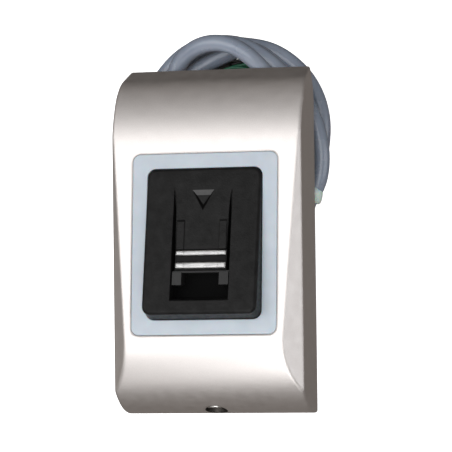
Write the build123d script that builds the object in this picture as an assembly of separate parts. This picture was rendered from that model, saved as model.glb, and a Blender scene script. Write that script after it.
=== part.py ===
from build123d import *
import math
import os

# Fingerprint scanner terminal for wall mounting, in millimetres.
# Frame: +X to the object's right, +Y towards its top edge, +Z out of its front.
# The origin is the centre of the wall face of the mounting plate (plane z = 0).

# ---------------------------------------------------------------- driving dimensions
WIDTH = 51.6              # housing, side to side
HEIGHT = 92.0             # housing, bottom to top
SKIN = 1.8                # housing wall
ARC_R = 18.6              # big radius of the lower brow, in the side profile
ARC_C = (-27.4, 1.2)      # its centre (y, z)
TILT = 4.8                # slope of the front face, degrees
TOP_TANGENT = (24.6, 15.5)   # where the flat front ends and the upper brow starts (y, z)
TOP_FOOT = (43.2, 6.2)       # where the upper brow meets the drafted top wall (y, z)
SIDE_Z = 14.6             # height of the vertical side walls
CHAMFER_RATIO = 1.2       # rise over run of the long side chamfers
FRAME_W, FRAME_H = 39.5, 48.0   # light frame, outer
BLOCK_W, BLOCK_H = 31.3, 40.0   # opening of the light frame, for the sensor block
FACE_Y = -1.1             # centre of the light frame on the front face
BLOCK_SLOPE = 0.13        # how fast the block rises out of the face, downwards
BLOCK_LIFT = 0.3          # how proud the block is at its upper edge
CLR = 0.05                # assembly clearance per side
PLATE_T = 1.2             # wall plate sheet
COVER_Z0, COVER_T = 1.9, 2.0    # back cover
BOARD_Z0, BOARD_T = 6.8, 1.6    # main board
WALL_SCREW_PITCH = 60.0   # centre distance of the two wall screws
WALL_SCREW_R = 2.1
CABLE_D = 4.5             # cable jacket
CABLE_X, CABLE_Y = 2.0, 8.0     # where the cable leaves the back
FLOOR_Z = -14.7           # surface that the coil lies on, under the terminal
COIL_Z0, COIL_Z1 = -14.7, -2.1  # coil, lowest and highest
WIRE_D = 1.1              # single conductors at the cable's bare end
LOCK_Z = 7.0              # height of the locking screw's axis
TAMPER_X, TAMPER_Y = -12.0, -22.0
TAMPER_TRAVEL = 1.1

os.makedirs("parts", exist_ok=True)
PARTS = {}


def keep(name, shape):
    """Writes one named sub-part."""
    shape.label = name
    PARTS[name] = shape
    export_step(shape, f"parts/{name}.step")


def group(shapes):
    return Compound(children=list(shapes))


def P(y, z):
    """A point of the side profile."""
    return Vector(0, y, z)


def box(x0, x1, y0, y1, z0, z1):
    return Pos((x0 + x1) / 2, (y0 + y1) / 2, (z0 + z1) / 2) * Box(x1 - x0, y1 - y0, z1 - z0)


def cyl(x, y, z0, z1, r):
    return Pos(x, y, (z0 + z1) / 2) * Cylinder(r, z1 - z0)


def cyl_y(x, z, y0, y1, r):
    return Pos(x, (y0 + y1) / 2, z) * Rot(90, 0, 0) * Cylinder(r, y1 - y0)


def profile_prism(points, x0, x1):
    """A closed polygon in (y, z), extruded along X."""
    face = make_face(Polyline(*[P(y, z) for y, z in points], close=True))
    return Pos(x0, 0, 0) * extrude(face, x1 - x0, dir=(1, 0, 0))


def plan_prism(points, z0, z1):
    """A closed polygon in (x, y), extruded along Z."""
    face = make_face(Polyline(*[Vector(x, y, z0) for x, y in points], close=True))
    return extrude(face, z1 - z0, dir=(0, 0, 1))


def rounded(w, h, r, z0, z1, cx=0.0, cy=0.0):
    return Pos(cx, cy, z0) * extrude(RectangleRounded(w, h, r), z1 - z0)


# ---------------------------------------------------------------- front face plane
T = math.radians(TILT)
FACE_TOP = (ARC_C[0] + ARC_R * math.sin(T), ARC_C[1] + ARC_R * math.cos(T))


def face_z(y):
    """Height of the flat front face."""
    return FACE_TOP[1] - (y - FACE_TOP[0]) * math.tan(T)


FACE = Plane(origin=(0, FACE_Y, face_z(FACE_Y)), x_dir=(1, 0, 0), z_dir=(0, math.sin(T), math.cos(T)))
ON_FACE = Location(FACE)


def to_face(shape):
    """From the front face's own frame (u, v, w) to the row frame."""
    return ON_FACE * shape


# ---------------------------------------------------------------- housing
def outer_profile(inset):
    r = ARC_R - inset
    start = P(ARC_C[0] - r, ARC_C[1])
    mid = P(ARC_C[0] - r * math.cos(math.radians(43)), ARC_C[1] + r * math.sin(math.radians(43)))
    end = P(ARC_C[0] + r * math.sin(T), ARC_C[1] + r * math.cos(T))
    d = Vector(0, -math.cos(T), math.sin(T))          # along the face, upwards in z
    foot_dir = Vector(0, -0.411, 0.911)
    foot_dir = foot_dir.normalized()
    tangent = P(*TOP_TANGENT) + Vector(0, -math.sin(T), -math.cos(T)) * inset
    foot = P(*TOP_FOOT) + Vector(0, -foot_dir.Z, foot_dir.Y) * inset
    low = -0.0 if inset == 0 else -1.0
    run = (foot.Z - low) / foot_dir.Z
    ground = foot - foot_dir * run
    # handles of the upper brow
    h1 = foot + foot_dir * 4.9
    h2 = tangent - d * 8.4
    edges = [
        Line(P(start.Y, low), start),
        ThreePointArc(start, mid, end),
        Line(end, tangent),
        Bezier(tangent, h2, h1, foot),
        Line(foot, ground),
        Line(ground, P(start.Y, low)),
    ]
    return make_face(edges), ground.Y


def section_prism(inset):
    n = math.hypot(1, CHAMFER_RATIO)
    x = WIDTH / 2 - inset
    z_on = SIDE_Z - inset / n
    x_on = WIDTH / 2 - inset * CHAMFER_RATIO / n
    z = z_on + (x_on - x) * CHAMFER_RATIO
    low = 0 if inset == 0 else -1
    pts = [(-x, low), (x, low), (x, z), (x - 7, z + 7 * CHAMFER_RATIO), (-x + 7, z + 7 * CHAMFER_RATIO), (-x, z)]
    face = make_face(Polyline(*[Vector(a, -50, b) for a, b in pts], close=True))
    return extrude(face, 100, dir=(0, 1, 0))


def plan_outline(inset, z0, z1):
    x = WIDTH / 2 - inset
    y0, y1 = -HEIGHT / 2 + inset, HEIGHT / 2 + 1 - inset
    edges = [
        Line(Vector(-x, y0, z0), Vector(x, y0, z0)),
        Line(Vector(x, y0, z0), Vector(x, 37, z0)),
        ThreePointArc(Vector(x, 37, z0), Vector(x - 0.27, 41.5, z0), Vector(x - 1.15, y1, z0)),
        Line(Vector(x - 1.15, y1, z0), Vector(-x + 1.15, y1, z0)),
        ThreePointArc(Vector(-x + 1.15, y1, z0), Vector(-x + 0.27, 41.5, z0), Vector(-x, 37, z0)),
        Line(Vector(-x, 37, z0), Vector(-x, y0, z0)),
    ]
    return extrude(make_face(edges), z1 - z0, dir=(0, 0, 1))


def near(a, b, tol=0.06):
    return abs(a - b) < tol


def prism_x(face, half):
    return extrude(Pos(-half, 0, 0) * face, 2 * half, dir=(1, 0, 0))


def one(shape):
    """The largest solid of a result."""
    return max(shape.solids(), key=lambda s: s.volume)


outer_face, top_y = outer_profile(0)
outer = one(prism_x(outer_face, WIDTH / 2 + 1) & section_prism(0) & plan_outline(0, 0, 30))


def ends(e):
    return e.position_at(0), e.position_at(1)


def pick(shape, test):
    return [e for e in shape.edges() if test(*ends(e), e)]


def long_side(a, b, e):
    """Edges down both flanks: side wall to chamfer, chamfer to front, and both brows."""
    if abs(a.X - b.X) > 5 or min(a.Z, b.Z) < -0.01 or max(a.Z, b.Z) < 1:
        return False
    if abs(a.X) < 20 or a.X * b.X < 0:
        return False
    vertical = abs(a.Y - b.Y) < 0.01
    return not vertical and e.length > 1.3


outer = fillet(pick(outer, long_side), 0.7)
outer = one(outer)

inner_face, _ = outer_profile(SKIN)
cavity = one(prism_x(inner_face, WIDTH / 2 + 1) & section_prism(SKIN) & plan_outline(SKIN, -1, 30))

shell = outer - cavity
# solid stock for the inner bosses and ribs, kept inside the skin
stock = outer


def inside(shape):
    return shape & stock


adds = []
RIB_LOW, RIB_HIGH = -37.4, 38.0
for side, rib in ((-1, RIB_LOW), (1, RIB_HIGH)):
    adds.append(inside(box(-24, 24, rib - 0.8, rib + (1.2 if side < 0 else 0.8), 4.7, 30)))     # cross ribs
    adds.append(inside(box(side * 23.9 - 2.0, side * 23.9 + 2.0, RIB_LOW, RIB_HIGH, 4.7, 6.0)))    # cover ledges
COVER_SCREWS = [(-19.0, 33.8), (19.0, 33.8), (-19.0, -33.8), (19.0, -33.8)]
BOARD_SCREWS = [(-18.0, 27.6), (18.0, 27.6), (-18.0, -28.7), (18.0, -28.7)]
BLOCK_SCREWS = [(-11.0, 27.9), (11.0, 27.9), (-11.0, -27.9), (11.0, -27.9)]   # (u, v) on the face plane
for x, y in COVER_SCREWS:
    adds.append(inside(cyl(x, y, BOARD_Z0 - 2.1, 22, 2.8)))
for x, y in BOARD_SCREWS:
    adds.append(inside(cyl(x, y, BOARD_Z0 + BOARD_T, 22, 2.1)))
for u, v in BLOCK_SCREWS:
    adds.append(inside(to_face(cyl(u, v, -4.5, 0.5, 2.1))))
# boss round the locking screw, and the ledge that the wall plate's hooks catch
adds.append(inside(box(-6, 6, -46, -41.4, 1.4, 12.5)))
for x in (-12.0, 12.0):
    adds.append(inside(box(x - 4.6, x + 4.6, 40.9, 45, 1.7, 3.0)))
housing = shell
for a in adds:
    housing = housing + a
cuts = [
    to_face(rounded(FRAME_W, FRAME_H, 2.1, -6, 6)),                       # window
    cyl_y(0, LOCK_Z, -48, -42.6, 2.95),                                   # locking screw's head
    cyl_y(0, LOCK_Z, -43, -40, 1.65),
]
for x, y in COVER_SCREWS:
    cuts.append(cyl(x, y, 0, 10.5, 0.95))
for x, y in BOARD_SCREWS:
    cuts.append(cyl(x, y, 0, 12.6, 0.75))
for u, v in BLOCK_SCREWS:
    cuts.append(to_face(cyl(u, v, -6, -1.0, 0.75)))
for c in cuts:
    housing = housing - c
# the brow's clearance for the light frame's flange
housing = housing - to_face(rounded(40.6, 50.4, 2.6, -6.5, -SKIN))
keep("front_housing", one(housing))
print("housing solids", len(housing.solids()), "volume", round(housing.volume, 1))

# ---------------------------------------------------------------- light frame (face frame u, v, w)
fw, fh = FRAME_W - 2 * CLR, FRAME_H - 2 * CLR
frame_body = rounded(fw, fh, 2.05, -SKIN - 0.02, -0.02)
frame_flange = rounded(40.4, 50.2, 2.5, -2.6, -SKIN - 0.02)
frame_skirt = rounded(33.9, 42.6, 2.6, -3.8, -2.6)
light = frame_body + frame_flange + frame_skirt
light = light - rounded(BLOCK_W, BLOCK_H, 2.3, -6, 6)
rim = pick(light, lambda a, b, e: near(a.Z, -0.02, 0.001) and near(b.Z, -0.02, 0.001))
light = fillet(rim, 0.25)
keep("light_frame", to_face(one(light)))

# ---------------------------------------------------------------- lighting board
led_board = rounded(39.2, 48.6, 2.0, -4.5, -3.82) - rounded(31.9, 40.6, 2.4, -6, 0)
for u, v in BLOCK_SCREWS:
    led_board = led_board - cyl(u, v, -6, 0, 2.3)
keep("led_board", to_face(one(led_board)))
LEDS = [(u, v) for v in (-22.6, 22.6) for u in (-15.0, -5.0, 5.0, 15.0)] + [(u, v) for u in (-18.3, 18.3) for v in (-14.0, 0.0, 14.0)]
leds = []
for u, v in LEDS:
    w, h = (2.0, 1.2) if abs(v) > 20 else (1.2, 2.0)
    body = Pos(u, v, -3.8 + 0.35) * Box(w, h, 0.7)
    body = fillet(body.edges().filter_by(Axis.Z), 0.15)
    leds.append(to_face(body))
keep("status_leds", group(leds))

# ---------------------------------------------------------------- sensor block (face frame)
bw, bh = BLOCK_W - 2 * CLR, BLOCK_H - 2 * CLR


def w_top(v):
    return BLOCK_LIFT + (19.5 - v) * BLOCK_SLOPE


def vw_prism(points, u0, u1):
    """A closed polygon in (v, w), extruded along u."""
    face = make_face(Polyline(*[Vector(u0, v, w) for v, w in points], close=True))
    return extrude(face, u1 - u0, dir=(1, 0, 0))


half_h = bh / 2
W_HIGH = 9.0          # well above the block's top, for the drafted sides
BOTTOM_DRAFT = 0.19   # how far the bottom wall leans in, per unit of height
low_plan = Pos(0, 0, -0.4) * RectangleRounded(bw, bh, 2.3)
lean = BOTTOM_DRAFT * (W_HIGH + 0.4)
high_plan = Pos(0, lean / 2, W_HIGH) * RectangleRounded(bw - 0.5, bh - lean, 2.3)
block = loft([low_plan, high_plan], ruled=True) + rounded(bw, bh, 2.3, -4.52, -0.4)
block = one(block & vw_prism([(30, -6), (30, w_top(30)), (-30, w_top(-30)), (-30, -6)], -20, 20))


def on_top(p, tol=0.02):
    return abs(p.Z - w_top(p.Y)) < tol


top_edges = pick(block, lambda a, b, e: on_top(a) and on_top(b) and on_top(e.position_at(0.5)))
print("block top edges", len(top_edges))
block = one(fillet(top_edges, 0.9))

# flange with screw ears, behind the lighting board
flange = rounded(36.0, 44.0, 2.5, -5.5, -4.52)
for u, v in BLOCK_SCREWS:
    flange = flange + box(u - 2.6, u + 2.6, min(v, 0) + (0 if v > 0 else -2.6), max(v, 0) + (2.6 if v > 0 else 0), -5.5, -4.52)
flange = flange - box(-14, 14, -18, 18, -7, -4)
block = block + flange
# hollow from behind, leaving the finger channel's trough
hollow = vw_prism([(17.8, -6), (17.8, w_top(17.8) - 2.2), (-17.6, w_top(-17.6) - 2.2), (-17.6, -6)], -13.6, 13.6)
trough = vw_prism([(15.6, w_top(15.6) - 2.0), (15.6, w_top(15.6)), (-17.2, w_top(-17.2)), (-17.2, w_top(-17.2) - 6.6),
                   (1.0, w_top(1.0) - 6.2), (5.0, w_top(5.0) - 4.4)], -9.4, 9.4)
block = one(block - (hollow - trough))

GROOVE_U = 7.9
# side grooves of the finger tongue: narrow at the top, wider and deeper towards the sensor
for s in (-1, 1):
    plan = [(s * 7.85, 14.8), (s * 7.45, 12.6), (s * 7.2, 9.5), (s * 6.9, -3.0), (s * GROOVE_U, -3.0), (s * GROOVE_U, 14.8)]
    if s < 0:
        plan = plan[::-1]
    g = plan_prism(plan, -6, 8)
    depth = vw_prism([(15.0, w_top(15.0) + 0.2), (15.0, 9), (-3.2, 9), (-3.2, w_top(-3.2) - 3.0), (9.0, w_top(9.0) - 2.2)], -10, 10)
    block = block - (g & depth)
# tongue, a little flatter than the block
TONGUE_V, TONGUE_SLOPE = 16.0, 0.104


def w_tongue(v):
    return w_top(TONGUE_V) + (TONGUE_V - v) * TONGUE_SLOPE


above_tongue = vw_prism([(TONGUE_V, w_top(TONGUE_V)), (TONGUE_V, 9), (-3.0, 9), (-3.0, w_tongue(-3.0))], -GROOVE_U, GROOVE_U)
rails = None
for s in (-1, 1):
    r = vw_prism([(6.1, w_tongue(6.1) - 0.5), (6.1, w_tongue(6.1)), (5.6, w_tongue(5.6) + 0.32), (-1.75, w_tongue(-1.75) + 0.32),
                  (-1.75, w_tongue(-1.75) - 0.5)], 4.75 if s > 0 else -6.75, 6.75 if s > 0 else -4.75)
    rails = r if rails is None else rails + r
block = block - above_tongue + rails
# engraved swipe arrow
a_top = [(-2.95, 14.1), (2.95, 14.1), (0, 8.65)]
a_low = [(-2.2, 12.75), (2.2, 12.75), (0, 9.7)]


def tri(points, lift):
    return make_face(Polyline(*[Vector(u, v, w_tongue(v) + lift) for u, v in points], close=True))


arrow = Solid.make_loft([tri(a_top, 0.02).face().outer_wire(), tri(a_low, -0.45).face().outer_wire()], True)
block = block - arrow
# sensor seat, and the deep pocket under the sensor
seat = vw_prism([(-1.75, 9), (-1.75, w_top(-1.75) - 4.6), (-7.4, w_top(-7.4) - 4.6), (-7.4, 9)], -GROOVE_U, GROOVE_U)
pocket = vw_prism([(-7.3, 9), (-7.3, w_top(-7.3) - 4.9), (-14.4, w_top(-14.4) - 4.9), (-14.9, w_top(-14.9) - 1.0),
                   (-15.4, w_top(-15.4) + 0.05), (-15.4, 9)], -GROOVE_U, GROOVE_U)
block = block - seat - pocket
for u, v in BLOCK_SCREWS:
    block = block - cyl(u, v, -7, 0, 1.1)
# slot for the sensor's ribbon
block = block - box(-4.0, 4.0, -5.5, -3.0, -6, 3)
block = one(block)
keep("sensor_block", to_face(block))

# ---------------------------------------------------------------- sensor
# holder: a black carrier clipped into the seat, with two guide pads in the pocket
holder = vw_prism([(-1.8, w_top(-1.8) - 4.55), (-1.8, w_top(-1.8) - 3.6), (-7.45, w_top(-7.45) - 3.6), (-7.45, w_top(-7.45) - 4.55)], -7.8, 7.8)
holder = holder + vw_prism([(-7.4, w_top(-7.4) - 4.85), (-7.4, w_top(-7.4) - 1.2), (-7.9, w_top(-7.9) - 1.2), (-7.9, w_top(-7.9) - 4.85)], -7.8, 7.8)
for u0, u1 in ((-7.6, -5.1), (5.1, 7.6)):
    pad = vw_prism([(-7.8, w_top(-7.8) - 4.85), (-7.8, w_top(-7.8) - 0.5), (-11.2, w_top(-11.2) - 0.5), (-11.2, w_top(-11.2) - 4.85)], u0, u1)
    holder = holder + pad
holder = holder - box(-3.8, 3.8, -5.4, -3.1, -6, 3)
keep("sensor_holder", to_face(one(holder)))
package = vw_prism([(-1.9, w_top(-1.9) - 3.55), (-1.9, w_top(-1.9) - 0.55), (-7.3, w_top(-7.3) - 0.55), (-7.3, w_top(-7.3) - 3.55)], -6.95, 6.95)
bar_defs = [(-1.98, -3.42), (-5.15, -6.85)]
for v0, v1 in bar_defs:
    package = package - vw_prism([(v0 + 0.02, w_top(v0) - 0.9), (v0 + 0.02, 9), (v1 - 0.02, 9), (v1 - 0.02, w_top(v1) - 0.9)], -6.82, 6.82)
package = package - vw_prism([(-3.68, w_top(-3.68) - 0.85), (-3.68, 9), (-4.92, 9), (-4.92, w_top(-4.92) - 0.85)], -6.6, 6.6)
keep("sensor_package", to_face(one(package)))
bars = []
for v0, v1 in bar_defs:
    m = 0.22
    bar = vw_prism([(v0, w_top(v0) - 0.88), (v0, w_top(v0) - 0.3 - m), (v0 - m, w_top(v0 - m) - 0.24), (v1 + m, w_top(v1 + m) - 0.24),
                    (v1, w_top(v1) - 0.3 - m), (v1, w_top(v1) - 0.88)], -6.8, 6.8)
    # plated end lands, a little higher than the middle
    for s in (-1, 1):
        land = vw_prism([(v0 - m, w_top(v0 - m) - 0.5), (v0 - m, w_top(v0 - m) - 0.16), (v1 + m, w_top(v1 + m) - 0.16), (v1 + m, w_top(v1 + m) - 0.5)],
                        4.6 if s > 0 else -6.6, 6.6 if s > 0 else -4.6)
        bar = bar + land
    bars.append(to_face(one(bar)))
keep("drive_bars", group(bars))
stripe = vw_prism([(-3.7, w_top(-3.7) - 0.83), (-3.7, w_top(-3.7) - 0.5), (-4.9, w_top(-4.9) - 0.5), (-4.9, w_top(-4.9) - 0.83)], -6.55, 6.55)
keep("sensor_stripe", to_face(stripe))

# ribbon from the sensor down to the main board
flex_v = -4.25
w_a = w_top(flex_v) - 3.6
top_pt = FACE.from_local_coords(Vector(0, flex_v, w_a - 0.02))
flex_x = 3.0
fz = BOARD_Z0 + BOARD_T
ribbon = [(top_pt.Y - 0.06, top_pt.Z), (top_pt.Y + 0.06, top_pt.Z), (top_pt.Y + 0.3, fz + 1.9), (top_pt.Y + 1.0, fz + 1.02), (top_pt.Y + 1.9, fz + 0.66),
          (top_pt.Y + 3.6, fz + 0.62), (top_pt.Y + 3.6, fz + 0.50), (top_pt.Y + 1.9, fz + 0.54), (top_pt.Y + 0.9, fz + 0.9), (top_pt.Y + 0.18, fz + 1.85)]
keep("sensor_ribbon", profile_prism(ribbon, -flex_x, flex_x))
ry = top_pt.Y + 3.65
ribbon_socket = box(-4.2, 4.2, ry, ry + 3.4, fz, fz + 1.2) - box(-3.1, 3.1, ry - 1, ry + 0.8, fz + 0.45, fz + 0.68)
ribbon_socket = ribbon_socket + box(-4.4, 4.4, ry + 2.2, ry + 3.2, fz + 1.2, fz + 1.5)
keep("ribbon_socket", one(ribbon_socket))

# ---------------------------------------------------------------- main board and what is on it
main = box(-21.4, 21.4, -30.8, 30.8, BOARD_Z0, BOARD_Z0 + BOARD_T)
for x, y in BOARD_SCREWS:
    main = main - cyl(x, y, 0, 20, 1.1)
main = fillet(main.edges().filter_by(Axis.Z).filter_by(lambda e: e.length < 2 and abs(e.center().X) > 21), 0.8)
keep("main_board", one(main))


def chip(name, x, y, w, h, t, pins, pitch, both=True):
    """A moulded chip with gull-wing leads, standing on the main board's front."""
    body = Pos(x, y, fz + 0.12 + t / 2) * Box(w, h, t)
    body = chamfer(body.faces().sort_by(Axis.Z)[-1].edges(), 0.12)
    solid = body
    for k in range(pins):
        off = (k - (pins - 1) / 2) * pitch
        for s in (-1, 1):
            solid = solid + box(x + off - pitch * 0.22, x + off + pitch * 0.22, *(sorted((y + s * (h / 2 - 0.05), y + s * (h / 2 + 0.35)))), fz + 0.5, fz + 0.62)
            solid = solid + box(x + off - pitch * 0.22, x + off + pitch * 0.22, *(sorted((y + s * (h / 2 + 0.3), y + s * (h / 2 + 0.42)))), fz, fz + 0.62)
            solid = solid + box(x + off - pitch * 0.22, x + off + pitch * 0.22, *(sorted((y + s * (h / 2 + 0.3), y + s * (h / 2 + 0.8)))), fz, fz + 0.12)
    keep(name, one(solid))


chip("processor", 9.5, -17.5, 9.0, 9.0, 1.2, 12, 0.65)
chip("flash_memory", -9.5, -19.5, 5.2, 5.2, 1.4, 4, 1.27)
chip("bus_driver", -13.5, 15.0, 4.9, 3.9, 1.3, 4, 1.27)
reg = box(10.0, 16.5, 9.0, 12.5, fz + 0.1, fz + 1.7) + box(11.8, 14.7, 12.5, 14.2, fz, fz + 0.3)
for k in (-1, 0, 1):
    reg = reg + box(13.25 + k * 2.3 - 0.35, 13.25 + k * 2.3 + 0.35, 7.5, 9.1, fz, fz + 0.3)
    reg = reg + box(13.25 + k * 2.3 - 0.35, 13.25 + k * 2.3 + 0.35, 8.8, 9.1, fz, fz + 0.8)
keep("voltage_regulator", one(reg))
bz = (-12.5, -4.5)
buz = cyl(bz[0], bz[1], fz, fz + 2.4, 4.5)
buz = fillet(buz.edges().sort_by(Axis.Z)[-1], 0.4)
buz = buz - cyl(bz[0], bz[1], fz + 1.6, fz + 3, 0.9)
keep("buzzer", one(buz))
crystal = fillet(box(15.2, 18.4, -5.0, 0.0, fz, fz + 0.9).edges().filter_by(Axis.Z), 0.5)
keep("crystal", crystal)
caps = []
for x, y in ((-16.5, 7.5), (-11.8, 7.5), (17.5, 3.6)):
    c = cyl(x, y, fz + 0.3, fz + 2.7, 1.9)
    c = fillet(c.edges().sort_by(Axis.Z)[-1], 0.25)
    caps.append(one(c + box(x - 2.0, x + 2.0, y - 2.0, y + 2.0, fz, fz + 0.5)))
keep("capacitors", group(caps))

# screws: cross-recessed pan heads; shanks end inside pilot holes of the same radius as the thread's core
def screw(x, y, z_head, head_r, head_h, shank_r, length, up=True, countersunk=False):
    """Axis along +Z, head at the rear (lower z)."""
    head = cyl(x, y, z_head - head_h, z_head, head_r)
    head = fillet(head.edges().sort_by(Axis.Z)[0], head_h * 0.45)
    s = head + cyl(x, y, z_head - 0.1, z_head + length, shank_r)
    for a in (0, 90):
        s = s - Pos(x, y, z_head - head_h) * Rot(0, 0, a) * Box(head_r * 1.1, head_r * 0.3, head_h * 1.1)
    return one(s)


cover_z1 = COVER_Z0 + COVER_T
keep("board_screws", group(screw(x, y, BOARD_Z0, 1.75, 1.0, 0.74, 4.4) for x, y in BOARD_SCREWS))
keep("cover_screws", group(screw(x, y, COVER_Z0 + 1.0, 1.9, 0.9, 0.94, 6.6) for x, y in COVER_SCREWS))
keep("block_screws", group(to_face(screw(u, v, -5.5, 1.7, 0.9, 0.74, 4.2)) for u, v in BLOCK_SCREWS))

# ---------------------------------------------------------------- back cover and its seal
cover = box(-23.2, 23.2, RIB_LOW - 0.2, RIB_HIGH + 0.2, COVER_Z0, cover_z1)
cover = fillet(cover.edges().filter_by(Axis.Z), 1.2)
for x, y in COVER_SCREWS:
    cover = cover - cyl(x, y, 0, 5, 1.15) - cyl(x, y, 0, COVER_Z0 + 1.0, 2.1)
cover = cover - cyl(CABLE_X, CABLE_Y, 0, 6, 4.3) - cyl(TAMPER_X, TAMPER_Y, 0, 6, 1.85)
# stiffening ribs on the outside, clear of the wall plate
for x in (-8.0, 14.0):
    cover = cover + box(x - 0.5, x + 0.5, -34, -14, COVER_Z0 - 0.45, COVER_Z0 + 0.1)
keep("back_cover", one(cover))
seal_y, seal_h = (RIB_LOW + RIB_HIGH) / 2, RIB_HIGH - RIB_LOW
seal = rounded(45.9, seal_h - 0.1, 1.2, cover_z1, BOARD_Z0 - 2.1, 0, seal_y) - rounded(43.7, seal_h - 2.0, 0.8, 0, 9, 0, seal_y)
for x, y in COVER_SCREWS:
    seal = seal - cyl(x, y, 0, 9, 2.85)
keep("cover_seal", group(seal.solids()) if len(seal.solids()) > 1 else one(seal))

# ---------------------------------------------------------------- cable entry
gr = cyl(CABLE_X, CABLE_Y, COVER_Z0 - 0.8, COVER_Z0, 5.5) + cyl(CABLE_X, CABLE_Y, COVER_Z0 - 0.1, cover_z1 + 0.1, 4.28)
gr = gr + cyl(CABLE_X, CABLE_Y, cover_z1, cover_z1 + 0.6, 5.2)
gr = one(gr)
gr = fillet([e for e in gr.edges() if near(e.center().Z, COVER_Z0 - 0.8, 0.01) or near(e.center().Z, cover_z1 + 0.6, 0.01)], 0.3)
gr = gr - cyl(CABLE_X, CABLE_Y, -5, 9, CABLE_D / 2)
keep("cable_grommet", one(gr))


def tube(name, points, d, first_radius=None):
    """A cord or wire: straight runs joined by the largest tangent arcs the runs allow."""
    pts = [Vector(*p) for p in points]
    radii = []
    for a, b, c in zip(pts, pts[1:], pts[2:]):
        u, v = (b - a), (c - b)
        half = math.radians(u.get_angle(v)) / 2
        radii.append(0.45 * min(u.length, v.length) / math.tan(half))
    if first_radius:
        radii[0] = first_radius
    path = FilletPolyline(*pts, radius=radii)
    start = Plane(origin=pts[0], z_dir=(pts[1] - pts[0]))
    solid = sweep(start * Circle(d / 2), path=path)
    want = math.pi * d * d / 4 * path.length
    print(f"{name}: length {path.length:.1f} mm, radii {[round(r, 1) for r in radii]}, volume {solid.volume:.1f} of {want:.1f}")
    return solid, path.length


# inner conductors: two rows of three from the jacket's end to the plug
jacket_end = cover_z1 + 0.4
plug_x0, plug_x1 = CABLE_X + 8.2, CABLE_X + 12.2
wires = []
for row, xs in ((0, 0.62), (1, -0.62)):
    for k in (-1, 0, 1):
        zr = jacket_end + 0.9 + row * 0.98
        pts = [(CABLE_X + xs, CABLE_Y + k * 1.0, jacket_end + 0.02), (CABLE_X + xs, CABLE_Y + k * 1.0, zr),
               (CABLE_X + xs + 2.4, CABLE_Y + k * 1.0, zr), (CABLE_X + 5.2, CABLE_Y + k * 1.25, zr), (plug_x0 - 0.02, CABLE_Y + k * 1.25, zr)]
        if k == 0:
            pts = [pts[0], pts[1], pts[4]]
        wire = tube("inner_wire", pts, 0.8, first_radius=0.75 if row == 0 else 1.1)[0]
        wires.append(one(wire))
keep("inner_wires", group(wires))
plug_z0 = jacket_end + 0.9 - 0.65
plug = box(plug_x0, plug_x1, CABLE_Y - 2.6, CABLE_Y + 2.6, plug_z0, BOARD_Z0 - 0.05)
plug = plug + box(plug_x0 + 1.0, plug_x0 + 2.0, CABLE_Y - 2.0, CABLE_Y + 2.0, plug_z0 - 0.25, plug_z0 + 0.1)
keep("cable_plug", one(plug))
header = box(plug_x1 + 0.02, plug_x1 + 4.0, CABLE_Y - 3.2, CABLE_Y + 3.2, plug_z0 - 0.25, BOARD_Z0)
header = header + box(plug_x0 + 2.2, plug_x1 + 0.1, CABLE_Y - 3.2, CABLE_Y - 2.65, plug_z0 - 0.25, BOARD_Z0)
header = header + box(plug_x0 + 2.2, plug_x1 + 0.1, CABLE_Y + 2.65, CABLE_Y + 3.2, plug_z0 - 0.25, BOARD_Z0)
keep("cable_header", one(header))

# ---------------------------------------------------------------- tamper switch and its sprung plunger
flange_z0 = cover_z1 + 0.02
plunger = cyl(TAMPER_X, TAMPER_Y, -TAMPER_TRAVEL, flange_z0 + 0.3, 1.8) + cyl(TAMPER_X, TAMPER_Y, flange_z0, flange_z0 + 0.65, 3.4)
plunger = one(plunger)
plunger = fillet([e for e in plunger.edges() if near(e.center().Z, -TAMPER_TRAVEL, 0.01)], 0.6)
keep("tamper_plunger", one(plunger))
plunger_top = flange_z0 + 0.65
button_z = plunger_top + TAMPER_TRAVEL + 0.06
switch = box(TAMPER_X - 1.7, TAMPER_X + 1.7, TAMPER_Y - 1.7, TAMPER_Y + 1.7, button_z + 0.3, BOARD_Z0)
switch = switch + cyl(TAMPER_X, TAMPER_Y, button_z, button_z + 0.5, 0.8)
keep("tamper_switch", one(switch))
s0, s1 = plunger_top + 0.2, BOARD_Z0 - 0.2
helix = Helix(pitch=(s1 - s0) / 3.0, height=s1 - s0, radius=2.85, center=(TAMPER_X, TAMPER_Y, s0))
coil_section = Plane(origin=helix @ 0, z_dir=helix % 0) * Circle(0.16)
spring = sweep(coil_section, path=helix, is_frenet=True)
print("spring volume", round(spring.volume, 3))
keep("tamper_spring", one(spring))

# ---------------------------------------------------------------- wall plate
wp = box(-22.6, 22.6, -41.4, 40.5, 0, PLATE_T)
wp = fillet(wp.edges().filter_by(Axis.Z), 1.5)
wp = wp - cyl(CABLE_X, CABLE_Y, -1, 3, 7.5) - cyl(TAMPER_X, TAMPER_Y, -1, 3, 3.2)
for s in (-1, 1):
    wp = wp - cyl(0, s * WALL_SCREW_PITCH / 2, -1, 3, WALL_SCREW_R)
# lightening windows
for x0, x1, y0, y1 in ((-18, -6, 14, 34), (10.5, 18, 14, 34), (-18, -9, -12, 6), (6, 18, -26, -6)):
    win = fillet(box(x0, x1, y0, y1, -1, 3).edges().filter_by(Axis.Z), 1.5)
    wp = wp - win
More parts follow.
